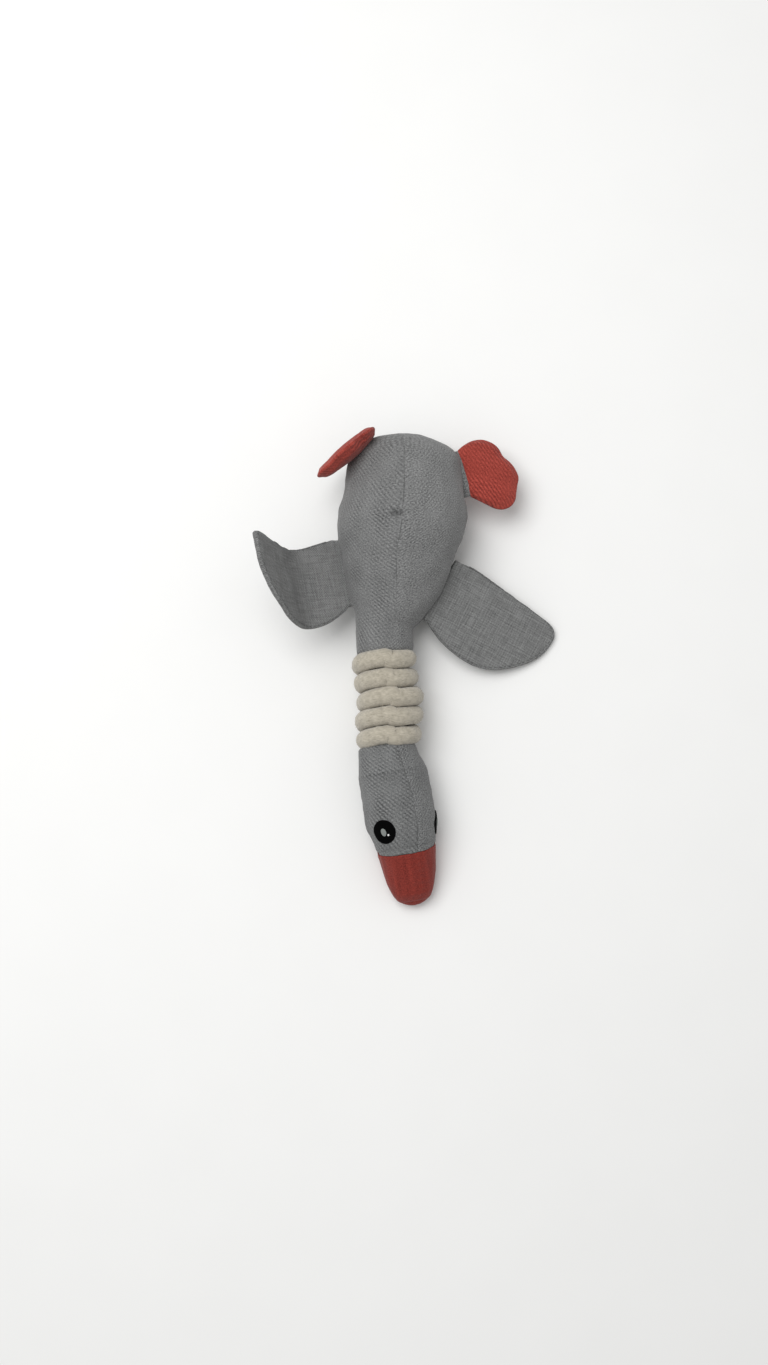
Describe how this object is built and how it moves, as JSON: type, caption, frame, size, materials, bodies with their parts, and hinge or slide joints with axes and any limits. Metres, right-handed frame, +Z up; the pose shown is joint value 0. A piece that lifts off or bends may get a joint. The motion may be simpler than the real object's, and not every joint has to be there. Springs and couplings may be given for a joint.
{
  "type": "stuffed goose dog toy",
  "caption": "Stuffed cloth goose dog toy lying on its belly, with flat wings, webbed feet and a neck wound with thick rope.",
  "frame": {"origin": "on the floor under the middle of the toy's box", "axes": "+Z up, +Y towards the tail, so the beak points to -Y. Left and right in the names are as seen from above with the tail away from the viewer, so left is -X"},
  "size_m": [0.1986, 0.321, 0.0866],
  "materials": {
    "grey_cloth": "heathered grey bias weave",
    "foot_cloth": "red ribbed weave",
    "beak_cloth": "dark red weave",
    "cream_rope": "fuzzy cream cotton",
    "stuffing": "loose polyester filling",
    "eye_black": "dense black embroidery",
    "eye_grey": "grey embroidery",
    "squeaker_rubber": "soft milky rubber",
    "squeaker_plastic": "moulded white",
    "crinkle_foil": "crinkled film"
  },
  "bodies": {
    "body": {"body_back_left": "grey_cloth", "body_back_right": "grey_cloth", "body_belly": "grey_cloth", "body_stuffing": "stuffing", "squeaker_bulb": "squeaker_rubber", "squeaker_tube": "squeaker_plastic", "squeaker_reed": "squeaker_plastic"},
    "neck": {"neck_sleeve": "grey_cloth", "neck_stuffing": "stuffing", "neck_rope": "cream_rope"},
    "head": {"head_left_panel": "grey_cloth", "head_right_panel": "grey_cloth", "beak_left_panel": "beak_cloth", "beak_right_panel": "beak_cloth", "head_stuffing": "stuffing", "left_eye_patch": "eye_black", "left_eye_pupil": "eye_grey", "right_eye_patch": "eye_black", "right_eye_pupil": "eye_grey"},
    "left_wing": {"left_wing_upper_cloth": "grey_cloth", "left_wing_lower_cloth": "grey_cloth", "left_wing_crinkle_sheet": "crinkle_foil"},
    "left_foot": {"left_leg_cuff": "grey_cloth", "left_foot_upper_cloth": "foot_cloth", "left_foot_lower_cloth": "foot_cloth", "left_foot_padding": "stuffing"},
    "right_wing": {"right_wing_upper_cloth": "grey_cloth", "right_wing_lower_cloth": "grey_cloth", "right_wing_crinkle_sheet": "crinkle_foil"},
    "right_foot": {"right_leg_cuff": "grey_cloth", "right_foot_upper_cloth": "foot_cloth", "right_foot_lower_cloth": "foot_cloth", "right_foot_padding": "stuffing"}
  },
  "joints": [
    {"name": "neck_sway", "type": "hinge", "parent": "body", "child": "neck", "pos_m": [-0.01654, 0.02601, 0.0251], "axis": [0, 0, 1], "range_deg": [-25, 25]},
    {"name": "head_nod", "type": "hinge", "parent": "neck", "child": "head", "pos_m": [-0.01211, -0.07159, 0.0251], "axis": [0.999, 0.0454, 0], "range_deg": [-25, 25]},
    {"name": "left_wing_flap", "type": "hinge", "parent": "body", "child": "left_wing", "pos_m": [-0.04538, 0.06227, 0.027], "axis": [-0.2014, 0.9795, 0], "range_deg": [-70, 50]},
    {"name": "right_wing_flap", "type": "hinge", "parent": "body", "child": "right_wing", "pos_m": [0.0237, 0.05028, 0.022], "axis": [-0.4918, -0.8707, 0], "range_deg": [-50, 75]},
    {"name": "left_foot_flap", "type": "hinge", "parent": "body", "child": "left_foot", "pos_m": [-0.03962, 0.14592, 0.0279], "axis": [0.7431, 0.6691, 0], "range_deg": [-105, 2]},
    {"name": "right_foot_flap", "type": "hinge", "parent": "body", "child": "right_foot", "pos_m": [0.03697, 0.13101, 0.0279], "axis": [0.2706, -0.9627, 0], "range_deg": [-60, 75]}
  ]
}
